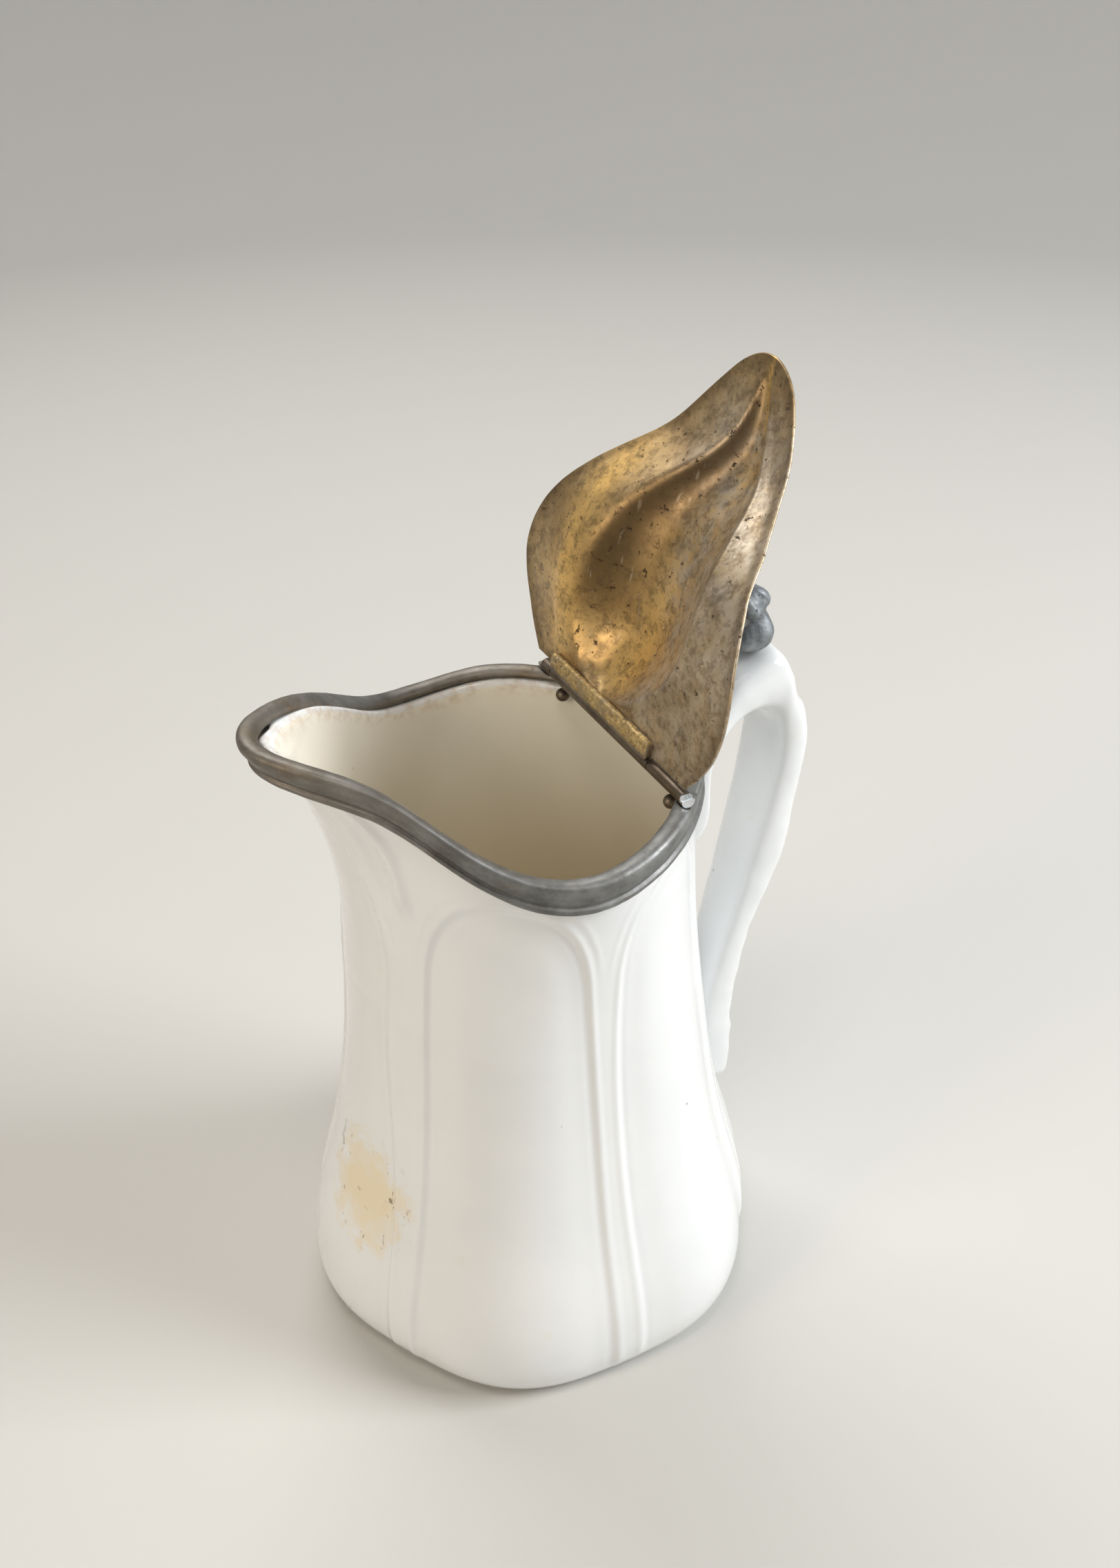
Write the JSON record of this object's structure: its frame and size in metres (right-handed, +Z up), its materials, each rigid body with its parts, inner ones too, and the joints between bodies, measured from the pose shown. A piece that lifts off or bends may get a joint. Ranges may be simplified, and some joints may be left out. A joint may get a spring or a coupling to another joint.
{
  "type": "lidded jug",
  "caption": "Glazed stoneware jug with a moulded body and handle, a pewter-bound pouring lip, and a domed pewter lid that hinges across the mouth.",
  "frame": {"origin": "centre of the foot, in the plane of the surface that the jug stands on", "axes": "+Z up; the spout points along -X and the handle along +X; the jug is the same on both sides of the XZ plane"},
  "size_m": [0.1386, 0.1158, 0.2359],
  "materials": {
    "glazed_stoneware": "glossy white glaze",
    "pewter": "dull grey pewter with brown patina",
    "dark_pewter": "dark tarnished pewter",
    "bright_solder": "freshly filed solder",
    "pin_metal": "worn wire",
    "lid_pewter": "polished pewter sheet with golden brown patina",
    "gold_solder": "rough granular solder",
    "cast_pewter": "blue grey cast pewter with dark pits"
  },
  "bodies": {
    "jug": {"jug_body": "glazed_stoneware", "handle": "glazed_stoneware", "rim_mount": "pewter", "back_plate": "pewter", "knuckle_near": "dark_pewter", "knuckle_far": "dark_pewter", "end_plug_near": "bright_solder", "end_plug_far": "bright_solder", "hinge_pin": "pin_metal", "anchor_stud_near": "dark_pewter", "anchor_stud_far": "dark_pewter"},
    "lid": {"lid_shell": "lid_pewter", "lid_leaf": "gold_solder", "lid_knuckle": "dark_pewter", "thumb_piece": "cast_pewter"}
  },
  "joints": [
    {"name": "lid_hinge", "type": "hinge", "parent": "jug", "child": "lid", "pos_m": [0.0241, 0, 0.1545], "axis": [0, 1, 0], "range_deg": [-102.6, 0]}
  ]
}
